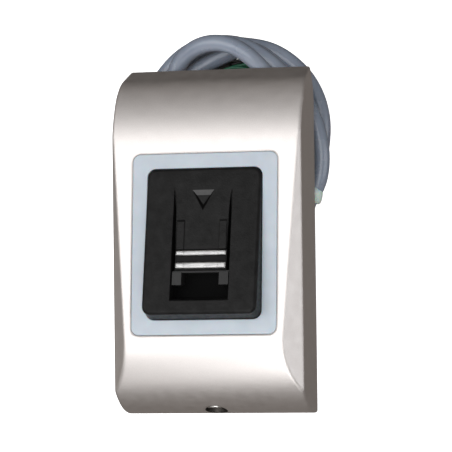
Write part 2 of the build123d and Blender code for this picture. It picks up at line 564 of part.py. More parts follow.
# lower tab with the locking nut, upper hooks
wp = wp + box(-5.5, 5.5, -39.6, -38.4, 0, 11.5)
for x in (-12.0, 12.0):
    wp = wp + box(x - 4.0, x + 4.0, 39.3, 40.5, 0, 4.5) + box(x - 4.0, x + 4.0, 40.4, 41.5, 3.3, 4.5)
wp = wp - cyl_y(0, LOCK_Z, -44, -37, 1.75)
keep("wall_plate", one(wp))
nut = Pos(0, -40.48, LOCK_Z) * Rot(90, 0, 0) * extrude(RegularPolygon(3.2, 6), 0.86, both=True)
nut = nut - cyl_y(0, LOCK_Z, -43, -35, 1.55)
keep("lock_nut", one(nut))
head = cyl_y(0, LOCK_Z, -44.35, -42.62, 2.7)
head = fillet([e for e in head.edges() if near(e.center().Y, -44.35, 0.02)], 0.5)
lock = head + cyl_y(0, LOCK_Z, -43, -38.35, 1.5)
lock = lock - Pos(0, -44.35, LOCK_Z) * Rot(90, 0, 0) * extrude(RegularPolygon(1.15, 6), 1.1, both=True)
lock = lock + cyl_y(0, LOCK_Z, -44.1, -43.2, 0.42)
keep("lock_screw", one(lock))

# ---------------------------------------------------------------- cable
lead_pts = [(CABLE_X, CABLE_Y, jacket_end), (CABLE_X, CABLE_Y, -2.9), (CABLE_X - 3.5, CABLE_Y - 0.4, -8.95), (CABLE_X - 9.56, CABLE_Y - 0.2, -12.44),
            (CABLE_X - 16.0, CABLE_Y + 2.4, -12.44), (CABLE_X - 20.3, CABLE_Y + 8.6, -12.44)]
lead, lead_len = tube("cable_lead", lead_pts, CABLE_D)
keep("cable_lead", one(lead))
# four turns tied together at the right: the outer and the inner edge of the bundle
COIL_OUT = [(26.0, 27), (25.8, 33), (24.6, 39), (22.4, 44.2), (19.4, 47.8), (15.4, 51.0), (10.6, 53.5), (5.0, 55.0), (-1.5, 55.9), (-7.0, 55.4),
            (-11.6, 53.3), (-16.0, 50.2), (-20.2, 46.2), (-23.8, 40), (-26.2, 31), (-26.9, 22), (-26.0, 12), (-22.8, 3), (-17, -5.2), (-8.6, -10.6),
            (0.6, -12.4), (9.4, -10.6), (15.6, -5.6), (19.6, 0.8), (22.2, 7), (24.3, 13), (25.6, 20)]
COIL_IN = [(16.6, 27), (16.4, 33), (15.2, 38.6), (12.6, 42.4), (9.6, 45.0), (7.6, 46.9), (5.2, 49.4), (1.6, 51.4), (-1.9, 52.0), (-5.1, 51.9),
           (-8.0, 51.1), (-10.3, 49.1), (-12.0, 46), (-13.6, 42), (-15.8, 36), (-17.4, 29), (-17.7, 22), (-16.8, 13), (-14.2, 5.5), (-9.7, -0.4),
           (-4.2, -3), (0.8, -3.5), (6.2, -2.4), (10.2, 1), (12.9, 6), (14.9, 12.5), (16.1, 19.5)]


def loop(points):
    return Spline(*[Vector(x, y, COIL_Z0) for x, y in points], periodic=True)


ring = make_face(loop(COIL_OUT)) - make_face(loop(COIL_IN))
coil = extrude(ring, COIL_Z1 - COIL_Z0, dir=(0, 0, 1))
keep("cable_coil", one(coil))
tie = rounded(11.6, COIL_Z1 - COIL_Z0, 2.2, 0, 4.6) - rounded(9.8, COIL_Z1 - COIL_Z0 - 1.8, 1.4, -1, 6)
tie = Location(Plane(origin=(19.8, 15.3, (COIL_Z0 + COIL_Z1) / 2), x_dir=(0.996, -0.087, 0), z_dir=(-0.087, -0.996, 0))) * tie
keep("cable_tie", one(tie))

# bare end: jacket tail, heat-shrink sleeve and single conductors
tail_pts = [(-18.6, 25.0, -9.6), (-16.4, 33.5, -11.4), (-12.4, 40.6, -11.85), (-8.2, 44.9, -11.85), (-3.4, 46.0, -11.85)]
tail, tail_len = tube("cable_tail", tail_pts, CABLE_D)
keep("cable_tail", one(tail))
d = (Vector(*tail_pts[-1]) - Vector(*tail_pts[-2])).normalized()
end = Vector(*tail_pts[-1])
SLEEVE_R, SLEEVE_L, SLEEVE_LAP = 2.85, 7.5, 3.5
sleeve_pl = Plane(origin=end - d * SLEEVE_LAP, z_dir=d)
sleeve = sleeve_pl * (Pos(0, 0, SLEEVE_L / 2) * Cylinder(SLEEVE_R, SLEEVE_L))
sleeve = sleeve - sleeve_pl * (Pos(0, 0, SLEEVE_LAP / 2) * Cylinder(CABLE_D / 2, SLEEVE_LAP))
keep("end_sleeve", one(sleeve))
s_end = end + d * (SLEEVE_L - SLEEVE_LAP)
side = Vector(-d.Y, d.X, 0)
up = Vector(0, 0, 1)
# where each conductor leaves the sleeve (across, up), how far it runs straight, and its bends (x, y, z)
ROUTES = {
    "green_wire": ((0.6, 1.15), 4.0, [(4.7, 47.1, -7.3), (0.9, 47.5, -7.2), (-2.6, 46.2, -7.4), (-6.5, 43.2, -8.4)]),
    "red_wire": ((-0.6, 1.15), 2.4, [(6.3, 44.9, -10.4), (6.8, 39.6, -11.4), (4.6, 35.0, -13.0)]),
    "black_wire": ((1.3, 0.0), 2.2, [(3.3, 50.0, -12.8), (-1.0, 50.7, -13.5), (-5.6, 50.4, -14.0), (-9.3, 47.9, -14.1)]),
    "white_wire": ((-1.3, 0.0), 2.2, [(5.3, 42.0, -12.4), (3.0, 36.5, -13.6)]),
    "yellow_wire": ((0.6, -1.15), 2.8, [(7.3, 43.4, -13.9), (9.0, 38.5, -14.0)]),
    "blue_wire": ((-0.6, -1.15), 2.0, [(4.0, 41.0, -14.0), (-1.0, 36.0, -14.1)]),
}
for name, ((across, lift), straight, bends) in ROUTES.items():
    s = s_end + side * across + up * lift
    pts = [s, s + d * straight] + [Vector(*p) for p in bends]
    w, _ = tube(name, [tuple(p) for p in pts], WIRE_D)
    print("   ", name, [tuple(round(c, 2) for c in p) for p in pts])
    keep(name, one(w))

print(len(PARTS), "nodes; lead", round(lead_len, 1), "tail", round(tail_len, 1))
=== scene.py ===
import bpy
import bmesh
import math
from mathutils import Matrix, Vector


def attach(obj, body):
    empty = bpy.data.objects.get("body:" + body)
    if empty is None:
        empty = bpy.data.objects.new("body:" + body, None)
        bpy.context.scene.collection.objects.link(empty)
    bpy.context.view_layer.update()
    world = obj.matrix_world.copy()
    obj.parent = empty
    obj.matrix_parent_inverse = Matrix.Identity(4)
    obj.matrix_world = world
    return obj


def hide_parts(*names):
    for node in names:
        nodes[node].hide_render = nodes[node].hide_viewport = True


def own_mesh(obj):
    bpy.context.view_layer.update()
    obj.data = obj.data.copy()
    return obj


MM = 0.001
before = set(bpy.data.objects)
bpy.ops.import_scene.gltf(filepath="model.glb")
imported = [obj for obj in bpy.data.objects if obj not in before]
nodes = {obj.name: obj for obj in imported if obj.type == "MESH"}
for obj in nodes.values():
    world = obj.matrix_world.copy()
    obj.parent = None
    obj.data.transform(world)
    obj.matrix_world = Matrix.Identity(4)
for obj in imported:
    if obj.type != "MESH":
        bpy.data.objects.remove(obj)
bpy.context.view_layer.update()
scene = bpy.context.scene

# ---------------------------------------------------------------- camera
cam_data = bpy.data.cameras.new("Camera")
cam = bpy.data.objects.new("Camera", cam_data)
scene.collection.objects.link(cam)
scene.camera = cam
cam_data.sensor_width = 36.0
cam_data.lens = 238.13
cam_data.clip_start, cam_data.clip_end = 0.05, 50.0
ax = Vector((0.965091, -0.012331, -0.261623))
ay = Vector((0.020699, 0.999358, 0.029253))
az = Vector((0.261094, -0.033647, 0.964727))
place = Vector((0.210082, -0.022948, 0.771562))
cam.matrix_world = Matrix((
    (ax.x, ay.x, az.x, place.x),
    (ax.y, ay.y, az.y, place.y),
    (ax.z, ay.z, az.z, place.z),
    (0, 0, 0, 1),
))


# ---------------------------------------------------------------- material kit
def new_mat(name):
    m = bpy.data.materials.new(name)
    m.use_nodes = True
    nt = m.node_tree
    for n in list(nt.nodes):
        nt.nodes.remove(n)
    out = nt.nodes.new("ShaderNodeOutputMaterial")
    p = nt.nodes.new("ShaderNodeBsdfPrincipled")
    nt.links.new(p.outputs[0], out.inputs[0])
    return m, nt, p


def coords(nt, stretch=(1, 1, 1)):
    tc = nt.nodes.new("ShaderNodeTexCoord")
    mp = nt.nodes.new("ShaderNodeMapping")
    mp.inputs["Scale"].default_value = stretch
    nt.links.new(tc.outputs["Object"], mp.inputs["Vector"])
    return mp.outputs["Vector"]


def noise(nt, vec, scale, detail=3.0, rough=0.55):
    n = nt.nodes.new("ShaderNodeTexNoise")
    n.inputs["Scale"].default_value = scale
    n.inputs["Detail"].default_value = detail
    n.inputs["Roughness"].default_value = rough
    nt.links.new(vec, n.inputs["Vector"])
    return n.outputs["Fac"]


def voronoi(nt, vec, scale, feature="F1"):
    n = nt.nodes.new("ShaderNodeTexVoronoi")
    n.feature = feature
    n.inputs["Scale"].default_value = scale
    nt.links.new(vec, n.inputs["Vector"])
    return n.outputs["Distance"]


def remap(nt, value, a, b, lo, hi):
    n = nt.nodes.new("ShaderNodeMapRange")
    n.inputs["From Min"].default_value = a
    n.inputs["From Max"].default_value = b
    n.inputs["To Min"].default_value = lo
    n.inputs["To Max"].default_value = hi
    nt.links.new(value, n.inputs["Value"])
    return n.outputs["Result"]


def two_tone(nt, value, a, b):
    n = nt.nodes.new("ShaderNodeMix")
    n.data_type = "RGBA"
    n.inputs["A"].default_value = (*a, 1)
    n.inputs["B"].default_value = (*b, 1)
    nt.links.new(value, n.inputs["Factor"])
    return n.outputs["Result"]


def bump(nt, p, value, strength, distance, after=None):
    n = nt.nodes.new("ShaderNodeBump")
    n.inputs["Strength"].default_value = strength
    n.inputs["Distance"].default_value = distance
    nt.links.new(value, n.inputs["Height"])
    if after is not None:
        nt.links.new(after, n.inputs["Normal"])
    nt.links.new(n.outputs["Normal"], p.inputs["Normal"])
    return n.outputs["Normal"]


def surface(name, dark, light, rough, metallic=0.0, tone=(600, 3.0), grain=(4000, 0.2, 0.00004), cell=None, rough_scale=300, stretch=(1, 1, 1), edge=None, **extra):
    """A procedural surface: colour that drifts between two tones, uneven roughness and a fine relief."""
    m, nt, p = new_mat(name)
    vec = coords(nt, stretch)
    t = remap(nt, noise(nt, vec, *tone), 0.3, 0.7, 0.0, 1.0)
    nt.links.new(two_tone(nt, t, dark, light), p.inputs["Base Color"])
    nt.links.new(remap(nt, noise(nt, vec, rough_scale, 4.0), 0.3, 0.7, rough[0], rough[1]), p.inputs["Roughness"])
    p.inputs["Metallic"].default_value = metallic
    soft = None
    if edge:
        bv = nt.nodes.new("ShaderNodeBevel")
        bv.samples = 6
        bv.inputs["Radius"].default_value = edge
        soft = bv.outputs["Normal"]
    nrm = bump(nt, p, noise(nt, vec, grain[0], 2.0), grain[1], grain[2], after=soft)
    if cell:
        bump(nt, p, voronoi(nt, vec, cell[0]), cell[1], cell[2], after=nrm)
    for k, v in extra.items():
        p.inputs[k.replace("_", " ")].default_value = v
    return m


M = {}
# satin champagne-silver paint on the cast housing: fine flakes and a very light orange peel
M["housing"] = surface("paint_champagne_silver", (0.80, 0.762, 0.745), (0.86, 0.822, 0.805), (0.44, 0.50), metallic=1.0, tone=(5200, 2.0),
                       grain=(2600, 0.05, 0.00003), cell=(5200, 0.04, 0.00002), rough_scale=420, edge=0.0011)
nt = M["housing"].node_tree
p = next(n for n in nt.nodes if n.type == "BSDF_PRINCIPLED")
vec = coords(nt)
off = nt.nodes.new("ShaderNodeVectorMath")
off.operation = "SUBTRACT"
off.inputs[1].default_value = (0.0, 0.0, 0.007)
nt.links.new(vec, off.inputs[0])
flat = nt.nodes.new("ShaderNodeVectorMath")
flat.operation = "MULTIPLY"
flat.inputs[1].default_value = (1.0, 0.0, 1.0)
nt.links.new(off.outputs["Vector"], flat.inputs[0])
far = nt.nodes.new("ShaderNodeVectorMath")
far.operation = "LENGTH"
nt.links.new(flat.outputs["Vector"], far.inputs[0])
bore = remap(nt, far.outputs["Value"], 0.00297, 0.00304, 1.0, 0.0)     # the screw's bore is painted near-black: bare unpainted metal, with painted shade in the recess
sp = nt.nodes.new("ShaderNodeSeparateXYZ")
nt.links.new(vec, sp.inputs[0])
low_end = remap(nt, sp.outputs["Y"], -0.031, -0.030, 1.0, 0.0)
bore_shade = nt.nodes.new("ShaderNodeMath")
bore_shade.operation = "MULTIPLY"
nt.links.new(bore, bore_shade.inputs[0])
nt.links.new(low_end, bore_shade.inputs[1])
was = p.inputs["Base Color"].links[0].from_socket
mix = nt.nodes.new("ShaderNodeMix")
mix.data_type = "RGBA"
mix.inputs["B"].default_value = (0.06, 0.055, 0.05, 1.0)
nt.links.new(bore_shade.outputs[0], mix.inputs["Factor"])
nt.links.new(was, mix.inputs["A"])
nt.links.new(mix.outputs["Result"], p.inputs["Base Color"])
M["light_guide"] = surface("frosted_light_guide", (0.54, 0.605, 0.675), (0.60, 0.665, 0.735), (0.34, 0.42), tone=(160, 2.0), grain=(5200, 0.06, 0.00002),
                           Specular_IOR_Level=0.45, Subsurface_Weight=0.25, Subsurface_Scale=0.002)
M["block"] = surface("textured_black_moulding", (0.0012, 0.0012, 0.0013), (0.0095, 0.0095, 0.0097), (0.34, 0.50), tone=(330, 6.0),
                     grain=(2300, 0.5, 0.00010), cell=(3600, 0.25, 0.00007), rough_scale=900, edge=0.00035, Specular_IOR_Level=0.2)
nt = M["block"].node_tree
p = next(n for n in nt.nodes if n.type == "BSDF_PRINCIPLED")
vec = coords(nt)
# painted shade: inside the pocket below the sensor the block is painted near-black and made fully rough
dot = nt.nodes.new("ShaderNodeVectorMath")
dot.operation = "DOT_PRODUCT"
dot.inputs[1].default_value = (0.0, -213.2, -985.6)     # depth in mm below the block's sloping top, less 20.0
nt.links.new(vec, dot.inputs[0])
deep = remap(nt, dot.outputs["Value"], -18.6, -16.9, 0.0, 1.0)
sp = nt.nodes.new("ShaderNodeSeparateXYZ")
nt.links.new(vec, sp.inputs[0])
side = nt.nodes.new("ShaderNodeMath")
side.operation = "ABSOLUTE"
nt.links.new(sp.outputs["X"], side.inputs[0])
within = remap(nt, side.outputs[0], 0.0080, 0.0084, 1.0, 0.0)
both = nt.nodes.new("ShaderNodeMath")
both.operation = "MULTIPLY"
nt.links.new(deep, both.inputs[0])
nt.links.new(within, both.inputs[1])
above = remap(nt, sp.outputs["Y"], -0.0170, -0.0166, 0.0, 1.0)
pocket_shade = nt.nodes.new("ShaderNodeMath")
pocket_shade.operation = "MULTIPLY"
nt.links.new(both.outputs[0], pocket_shade.inputs[0])
nt.links.new(above, pocket_shade.inputs[1])
both = pocket_shade
for socket, end in (("Base Color", (0.0012, 0.0012, 0.0013, 1.0)), ("Roughness", (0.95, 0.95, 0.95, 1.0))):
    was = p.inputs[socket].links[0].from_socket
    mix = nt.nodes.new("ShaderNodeMix")
    mix.data_type = "RGBA"
    mix.inputs["B"].default_value = end
    nt.links.new(both.outputs[0], mix.inputs["Factor"])
    nt.links.new(was, mix.inputs["A"])
    nt.links.new(mix.outputs["Result"], p.inputs[socket])
# painted highlight: the arrow's top slope is a lighter copy of the block plastic, as if lit
M["arrow_slope"] = surface("arrow_painted_highlight_slope", (0.014, 0.014, 0.0145), (0.022, 0.022, 0.0225), (0.30, 0.40), tone=(1500, 3.0), grain=(3600, 0.2, 0.00004), Specular_IOR_Level=0.6)
# painted shade: the arrow's steep side walls are a near-black, fully rough copy of the block plastic
M["arrow_wall"] = surface("arrow_painted_shade_wall", (0.0006, 0.0006, 0.0006), (0.0016, 0.0016, 0.0016), (0.8, 0.95), tone=(1500, 3.0), grain=(2600, 0.3, 0.00005), Specular_IOR_Level=0.1)
M["black_plastic"] = surface("black_moulding", (0.007, 0.007, 0.0075), (0.013, 0.013, 0.0135), (0.42, 0.55), grain=(2600, 0.25, 0.00006))
M["black_satin"] = surface("black_satin", (0.0025, 0.0025, 0.003), (0.005, 0.005, 0.0055), (0.45, 0.58), grain=(3600, 0.12, 0.00004), Specular_IOR_Level=0.14)
M["bars"] = surface("polished_plated_metal", (0.40, 0.40, 0.405), (0.60, 0.60, 0.60), (0.20, 0.30), metallic=1.0, tone=(2400, 3.0),
                    grain=(6000, 0.12, 0.00003), stretch=(0.15, 1, 1), edge=0.0007)
M["screw"] = surface("zinc_plated_screw", (0.62, 0.61, 0.59), (0.76, 0.75, 0.73), (0.22, 0.36), metallic=1.0, tone=(1200, 3.0), grain=(5000, 0.15, 0.00003))
M["zinc"] = surface("galvanised_sheet", (0.46, 0.47, 0.48), (0.66, 0.67, 0.68), (0.30, 0.48), metallic=1.0, tone=(260, 4.0), grain=(3000, 0.12, 0.00004),
                    cell=(240, 0.05, 0.0001), rough_scale=160)
M["glass"] = surface("sensor_stripe", (0.003, 0.003, 0.0035), (0.006, 0.006, 0.007), (0.35, 0.5), tone=(2600, 2.0), grain=(7000, 0.04, 0.00001), Specular_IOR_Level=0.15)
M["board"] = surface("solder_mask", (0.012, 0.075, 0.038), (0.018, 0.105, 0.052), (0.28, 0.38), tone=(420, 5.0), grain=(3600, 0.12, 0.00003))
M["chip"] = surface("chip_moulding", (0.017, 0.017, 0.018), (0.026, 0.026, 0.027), (0.45, 0.58), grain=(4200, 0.25, 0.00004))
M["connector"] = surface("ivory_nylon", (0.66, 0.63, 0.54), (0.75, 0.72, 0.63), (0.40, 0.5), grain=(3000, 0.12, 0.00004), Subsurface_Weight=0.1, Subsurface_Scale=0.001)
M["ribbon"] = surface("polyimide_ribbon", (0.42, 0.19, 0.035), (0.52, 0.25, 0.05), (0.25, 0.35), tone=(900, 2.0), grain=(3000, 0.08, 0.00002))
M["seal"] = surface("seal_rubber", (0.020, 0.020, 0.021), (0.034, 0.034, 0.035), (0.65, 0.8), grain=(2400, 0.3, 0.00005))
M["plunger"] = surface("acetal_plunger", (0.035, 0.035, 0.037), (0.05, 0.05, 0.052), (0.32, 0.42), grain=(2600, 0.12, 0.00003))
M["led"] = surface("led_window", (0.62, 0.66, 0.62), (0.72, 0.76, 0.72), (0.15, 0.25), tone=(3000, 2.0), grain=(5200, 0.05, 0.00001))
M["can"] = surface("aluminium_can", (0.60, 0.60, 0.61), (0.72, 0.72, 0.73), (0.25, 0.4), metallic=1.0, tone=(900, 3.0), grain=(3600, 0.1, 0.00002))
# PVC jacket: grey-blue, waxy gloss, faint draw lines and scuffs
M["cable"] = surface("pvc_jacket_grey_blue", (0.235, 0.275, 0.355), (0.295, 0.340, 0.420), (0.22, 0.30), tone=(90, 4.0), grain=(1700, 0.12, 0.00006),
                     rough_scale=140, Specular_IOR_Level=0.75, Subsurface_Weight=0.06, Subsurface_Scale=0.0012)
M["tie"] = surface("milky_nylon_tie", (0.68, 0.84, 0.79), (0.78, 0.90, 0.86), (0.36, 0.5), tone=(700, 3.0), grain=(2600, 0.25, 0.00008), Subsurface_Weight=0.3,
                   Subsurface_Scale=0.0015)
M["sleeve"] = surface("heat_shrink_black", (0.0035, 0.0035, 0.0036), (0.006, 0.006, 0.0062), (0.5, 0.65), grain=(1500, 0.35, 0.0001), Specular_IOR_Level=0.25)
WIRES = {"green": (0.012, 0.115, 0.062), "red": (0.42, 0.02, 0.015), "black": (0.004, 0.004, 0.0045), "white": (0.62, 0.62, 0.60), "yellow": (0.62, 0.43, 0.03),
         "blue": (0.02, 0.06, 0.32)}
for w, c in WIRES.items():
    lift = tuple(min(1.0, x * 1.25 + 0.002) for x in c)
    M["wire_" + w] = surface("insulation_" + w, c, lift, (0.32, 0.45), tone=(900, 3.0), grain=(2600, 0.15, 0.00004),
                             **({"Specular_IOR_Level": 0.25} if w == "black" else {}))
M["copper"] = surface("tinned_copper", (0.70, 0.50, 0.38), (0.82, 0.66, 0.55), (0.25, 0.4), metallic=1.0, tone=(3000, 2.0), grain=(5000, 0.2, 0.00003))

NODE_MATS = {
    "front_housing": "housing", "light_frame": "light_guide", "led_board": "board", "status_leds": "led", "sensor_block": "block",
    "sensor_holder": "black_plastic", "sensor_package": "black_satin", "drive_bars": "bars", "sensor_stripe": "glass", "sensor_ribbon": "ribbon",
    "ribbon_socket": "connector", "main_board": "board", "processor": "chip", "flash_memory": "chip", "bus_driver": "chip", "voltage_regulator": "chip",
    "buzzer": "chip", "crystal": "can", "capacitors": "can", "board_screws": "screw", "cover_screws": "screw", "block_screws": "screw",
    "back_cover": "black_plastic", "cover_seal": "seal", "cable_grommet": "seal", "inner_wires": "wire_white", "cable_plug": "connector",
    "cable_header": "connector", "tamper_plunger": "plunger", "tamper_switch": "chip", "tamper_spring": "screw", "wall_plate": "zinc", "lock_nut": "screw",
    "lock_screw": "screw",
}
for name, key in NODE_MATS.items():
    o = nodes[name]
    o.data.materials.clear()
    o.data.materials.append(M[key])


# ---------------------------------------------------------------- cable
def spline_piece(name, points, thick, material, resolution=4, ring=8):
    """A round cord along one smooth open spline."""
    cu = bpy.data.curves.new(name, "CURVE")
    cu.dimensions = "3D"
    sp = cu.splines.new("NURBS")
    sp.points.add(len(points) - 1)
    for p, xyz in zip(sp.points, points):
        p.co = (xyz[0] * MM, xyz[1] * MM, xyz[2] * MM, 1.0)
    sp.order_u = 3
    sp.use_endpoint_u = True
    sp.resolution_u = resolution
    cu.bevel_depth = thick * MM / 2
    cu.bevel_resolution = ring
    cu.use_fill_caps = True
    cu.materials.append(material)
    o = bpy.data.objects.new(name, cu)
    scene.collection.objects.link(o)
    return o


CABLE_D = 4.5
ROUTE = [
    (2, 8, 4.1), (2, 8, 2.6), (2, 8, 0.2), (2, 7.98, -2.2), (1.3, 7.9, -5), (-0.6, 7.75, -8),
    (-3.6, 7.65, -10.4), (-7.3, 7.8, -12.1), (-11.2, 9, -12.42), (-14.6, 11.4, -12.44), (-17, 14.8, -12.44), (-18.9, 19.2, -12.44),
    (-20.6, 24, -12.3), (-20.6, 29, -11.2), (-19, 34, -9.8), (-16.6, 38.6, -8.8), (-12.02, 44.05, -8.3), (-10.11, 45.47, -8.1),
    (-7.97, 46.97, -8.1), (-5.81, 48.34, -8.5), (-3.55, 49.35, -8.5), (-1.23, 50.29, -8.3), (1.05, 51.28, -8.2), (3.44, 52.01, -8.2),
    (5.93, 52.01, -8.3), (8.47, 51.03, -8.7), (11.03, 49.33, -9.5), (13.59, 47.14, -10.3), (16.23, 44.51, -10.7), (18.37, 41.47, -10.9),
    (19.69, 37.92, -11), (20.46, 33.84, -11), (20.68, 29.24, -11), (20.47, 24.39, -11), (19.86, 20.09, -11), (19.12, 16.32, -11),
    (17.3, 12.2, -10.9), (15.9, 7, -11.2), (13.6, 2.2, -11.8), (9.8, -2, -12.3), (4.6, -4.8, -12.45), (-1, -5.4, -12.45),
    (-6.6, -3.6, -12.45), (-11.6, 0.4, -12.45), (-16.4, 5, -12.45), (-20.6, 9.6, -12.45), (-23.4, 15, -12.45), (-24.6, 21, -12.45),
    (-24.4, 27.5, -12.45), (-22.8, 34, -12.45), (-20.2, 39.6, -12.45), (-18.18, 43.88, -12.42), (-16.15, 46.42, -12.42), (-13.85, 48.81, -12.42),
    (-11.41, 50.89, -12.42), (-8.69, 52.38, -12.42), (-5.71, 53.36, -12.42), (-2.73, 53.86, -12.42), (0.09, 53.86, -12.42), (2.76, 53.49, -12.42),
    (5.28, 53.13, -12.42), (7.53, 52.77, -12.4), (9.9, 52.14, -12.4), (12.32, 51.17, -12.2), (14.87, 49.67, -12), (17.48, 47.67, -11.8),
    (20.16, 45.08, -11.5), (22.44, 41.91, -11.3), (24.14, 38.33, -11.2), (25.06, 35.06, -11.1), (25.51, 32.07, -11), (25.55, 29.1, -11),
    (25.23, 25.88, -11), (24.74, 22.65, -11), (24.25, 18.89, -11), (23.59, 15.41, -11), (21.7, 11.6, -10.9), (20.3, 7, -11),
    (17.2, 0.6, -11.5), (13, -4.8, -12), (7.2, -8.6, -12.4), (0.6, -10, -12.45), (-6.4, -8.8, -12.45), (-12.8, -5.4, -12.2),
    (-18.2, -0.6, -11.4), (-22, 5.2, -10), (-24.3, 12, -8.6), (-25, 19, -8.1), (-24.8, 26, -7.9), (-23.4, 33, -7.9),
    (-21.4, 38.8, -8), (-19.48, 43.33, -8.1), (-17.54, 45.95, -8.2), (-15.39, 48.33, -8.2), (-12.87, 50.4, -7.9), (-9.97, 52.05, -7.4),
    (-6.58, 53.09, -6.4), (-2.95, 53.55, -5.5), (0.6, 53.5, -4.8), (3.77, 53.02, -4.4), (6.54, 52, -4.4), (9.2, 50.48, -4.8),
    (11.67, 48.65, -5.9), (14.28, 46.34, -6.4), (17.26, 43.34, -6.5), (20.33, 39.71, -6.2), (22.9, 35.87, -6.2), (24.71, 31.52, -6.2),
    (25.73, 27.47, -6.2), (26.26, 23.97, -6.2), (26.3, 20.76, -6.2), (25.92, 17.55, -6.2), (25.06, 14.49, -6.2), (23, 11.3, -6.3),
    (21.2, 7.2, -6.4), (19.6, 3.4, -6.7), (17, -0.6, -7.2), (12.8, -5, -7.7), (7, -8.4, -7.95), (0.4, -9.6, -7.95),
    (-6.4, -8.2, -7.95), (-12.6, -4.4, -7.6), (-17.6, 0.8, -6.6), (-20.8, 7, -5.4), (-22.2, 14, -4.6), (-22.6, 21, -4.4),
    (-22.2, 28, -4.4), (-20.4, 35, -4.4), (-17.9, 40.6, -4.4), (-13.82, 45.03, -4.4), (-12.83, 47.46, -4), (-11.28, 49.53, -3.4),
    (-9.12, 51.22, -2.6), (-6.58, 52.47, -1.8), (-3.81, 53.16, -1), (-1.02, 53.28, -0.5), (1.84, 52.83, -0.2), (4.6, 51.76, -0.2),
    (7.21, 49.99, -0.7), (9.39, 47.99, -1.8), (11.24, 45.8, -3.1), (13.13, 43.01, -3.9), (15.65, 38.97, -5), (17.64, 34.11, -5.6),
    (18.85, 28.73, -6), (19.42, 23.35, -6.2), (19.61, 18.79, -6.3), (18.6, 15.6, -6.3), (18.3, 11.6, -6.3), (16.6, 6.8, -6.6),
    (14, 1.8, -7.2), (10.2, -2.6, -7.8), (5, -5.2, -7.95), (-0.6, -5.6, -7.95), (-6.2, -3.8, -7.95), (-11.4, 0.2, -7.95),
    (-15.6, 5.4, -7.95), (-18.6, 11.6, -7.95), (-18.3, 17, -8), (-17, 22.8, -8.9), (-16, 28.4, -10.1), (-14.6, 33.8, -11.4),
    (-12.4, 39, -12.2), (-9.2, 42.9, -12.3), (-5.6, 45.2, -12.1), (-3.4, 46, -11.9),
]
cable = spline_piece("data_cable", ROUTE, CABLE_D, M["cable"], 5, 10)
cable.visible_glossy = False
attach(cable, "housing")
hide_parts("cable_lead", "cable_coil", "cable_tail")

# ---------------------------------------------------------------- sleeve, wires and tie
WIRE_D = 1.1
WIRE_ROUTES = {
    "green": [(0.36, 47.28, -10.7), (4.0, 48.1, -10.7), (5.9, 47.6, -9.4), (5.8, 46.4, -7.6), (3.1, 47.1, -7.1), (-0.1, 46.6, -7.1), (-3.2, 44.9, -7.5), (-6.0, 42.0, -8.4)],
    "red": [(0.63, 46.31, -10.7), (2.97, 46.84, -10.7), (6.0, 45.4, -10.4), (6.8, 41.6, -11.0), (6.0, 38.0, -12.0), (4.6, 35.0, -13.0)],
    # a real conductor, routed across the gap under the arch so that its black stands in for the shade there
    "black": [(0.21, 48.16, -11.85), (2.35, 48.65, -11.85), (4.0, 49.3, -12.4), (3.6, 49.5, -13.0), (1.2, 49.2, -13.6), (-2.2, 49.4, -13.8), (-6.0, 51.0, -14.0),
              (-8.8, 51.0, -14.05), (-11.2, 49.6, -14.1), (-13.4, 47.6, -14.1), (-14.8, 45.2, -14.1)],
    "white": [(0.79, 45.63, -11.85), (2.93, 46.12, -11.85), (4.9, 43.6, -12.2), (4.6, 40.2, -12.7), (3.0, 36.5, -13.6)],
    "yellow": [(0.36, 47.48, -13.0), (3.09, 48.1, -13.0), (6.0, 45.8, -13.5), (7.9, 42.2, -13.9), (9.0, 38.5, -14.0)],
    "blue": [(0.63, 46.31, -13.0), (2.58, 46.76, -13.0), (4.0, 44.4, -13.4), (3.6, 41.0, -14.0), (1.4, 38.2, -14.1), (-1.0, 36.0, -14.1)],
}
for w, pts in WIRE_ROUTES.items():
    o = spline_piece("conductor_" + w, pts, WIRE_D, M["wire_" + w], 8, 5)
    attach(o, "housing")
    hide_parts(w + "_wire")
    # the stripped, tinned tip
    a, b = Vector(pts[-2]), Vector(pts[-1])
    d = (b - a).normalized()
    tip = spline_piece("tip_" + w, [tuple(b - d * 0.4), tuple(b + d * 0.8), tuple(b + d * 2.0)], 0.55, M["copper"], 4, 4)
    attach(tip, "housing")


def mesh_piece(name, bm, material, smooth=True):
    me = bpy.data.meshes.new(name)
    bm.normal_update()
    bm.to_mesh(me)
    bm.free()
    me.materials.append(material)
    if smooth:
        for f in me.polygons:
            f.use_smooth = True
    o = bpy.data.objects.new(name, me)
    scene.collection.objects.link(o)
    return o


def lathe(name, origin, direction, profile, material, n=40):
    """A turned piece: profile is (distance along, radius) pairs in mm."""
    z = Vector(direction).normalized()
    x = z.orthogonal().normalized()
    y = z.cross(x)
    bm = bmesh.new()
    rings = []
    for t, r in profile:
        rings.append([bm.verts.new((Vector(origin) + z * t + (x * math.cos(a) + y * math.sin(a)) * r) * MM)
                      for a in (2 * math.pi * k / n for k in range(n))])
    for p, q in zip(rings, rings[1:]):
        for k in range(n):
            bm.faces.new((p[k], p[(k + 1) % n], q[(k + 1) % n], q[k]))
    bm.faces.new(list(reversed(rings[0])))
    bm.faces.new(rings[-1])
    return mesh_piece(name, bm, material)


# heat-shrink sleeve: grips the jacket, then necks down over the conductors; it sits under the arch, where its black
# also stands in for the shade there
END = Vector((-3.4, 46.0, -11.85))
ED = Vector((4.8, 1.1, 0.0)).normalized()
sleeve = lathe("heat_shrink_sleeve", END - ED * 3.5, ED,
               [(0.0, 2.35), (0.08, 2.62), (0.3, 2.72), (1.2, 2.68), (2.4, 2.75), (3.4, 2.78), (4.2, 2.7), (5.2, 2.55), (6.4, 2.45), (7.2, 2.42), (7.45, 2.3), (7.5, 2.0)],
               M["sleeve"])
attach(sleeve, "housing")
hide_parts("end_sleeve")


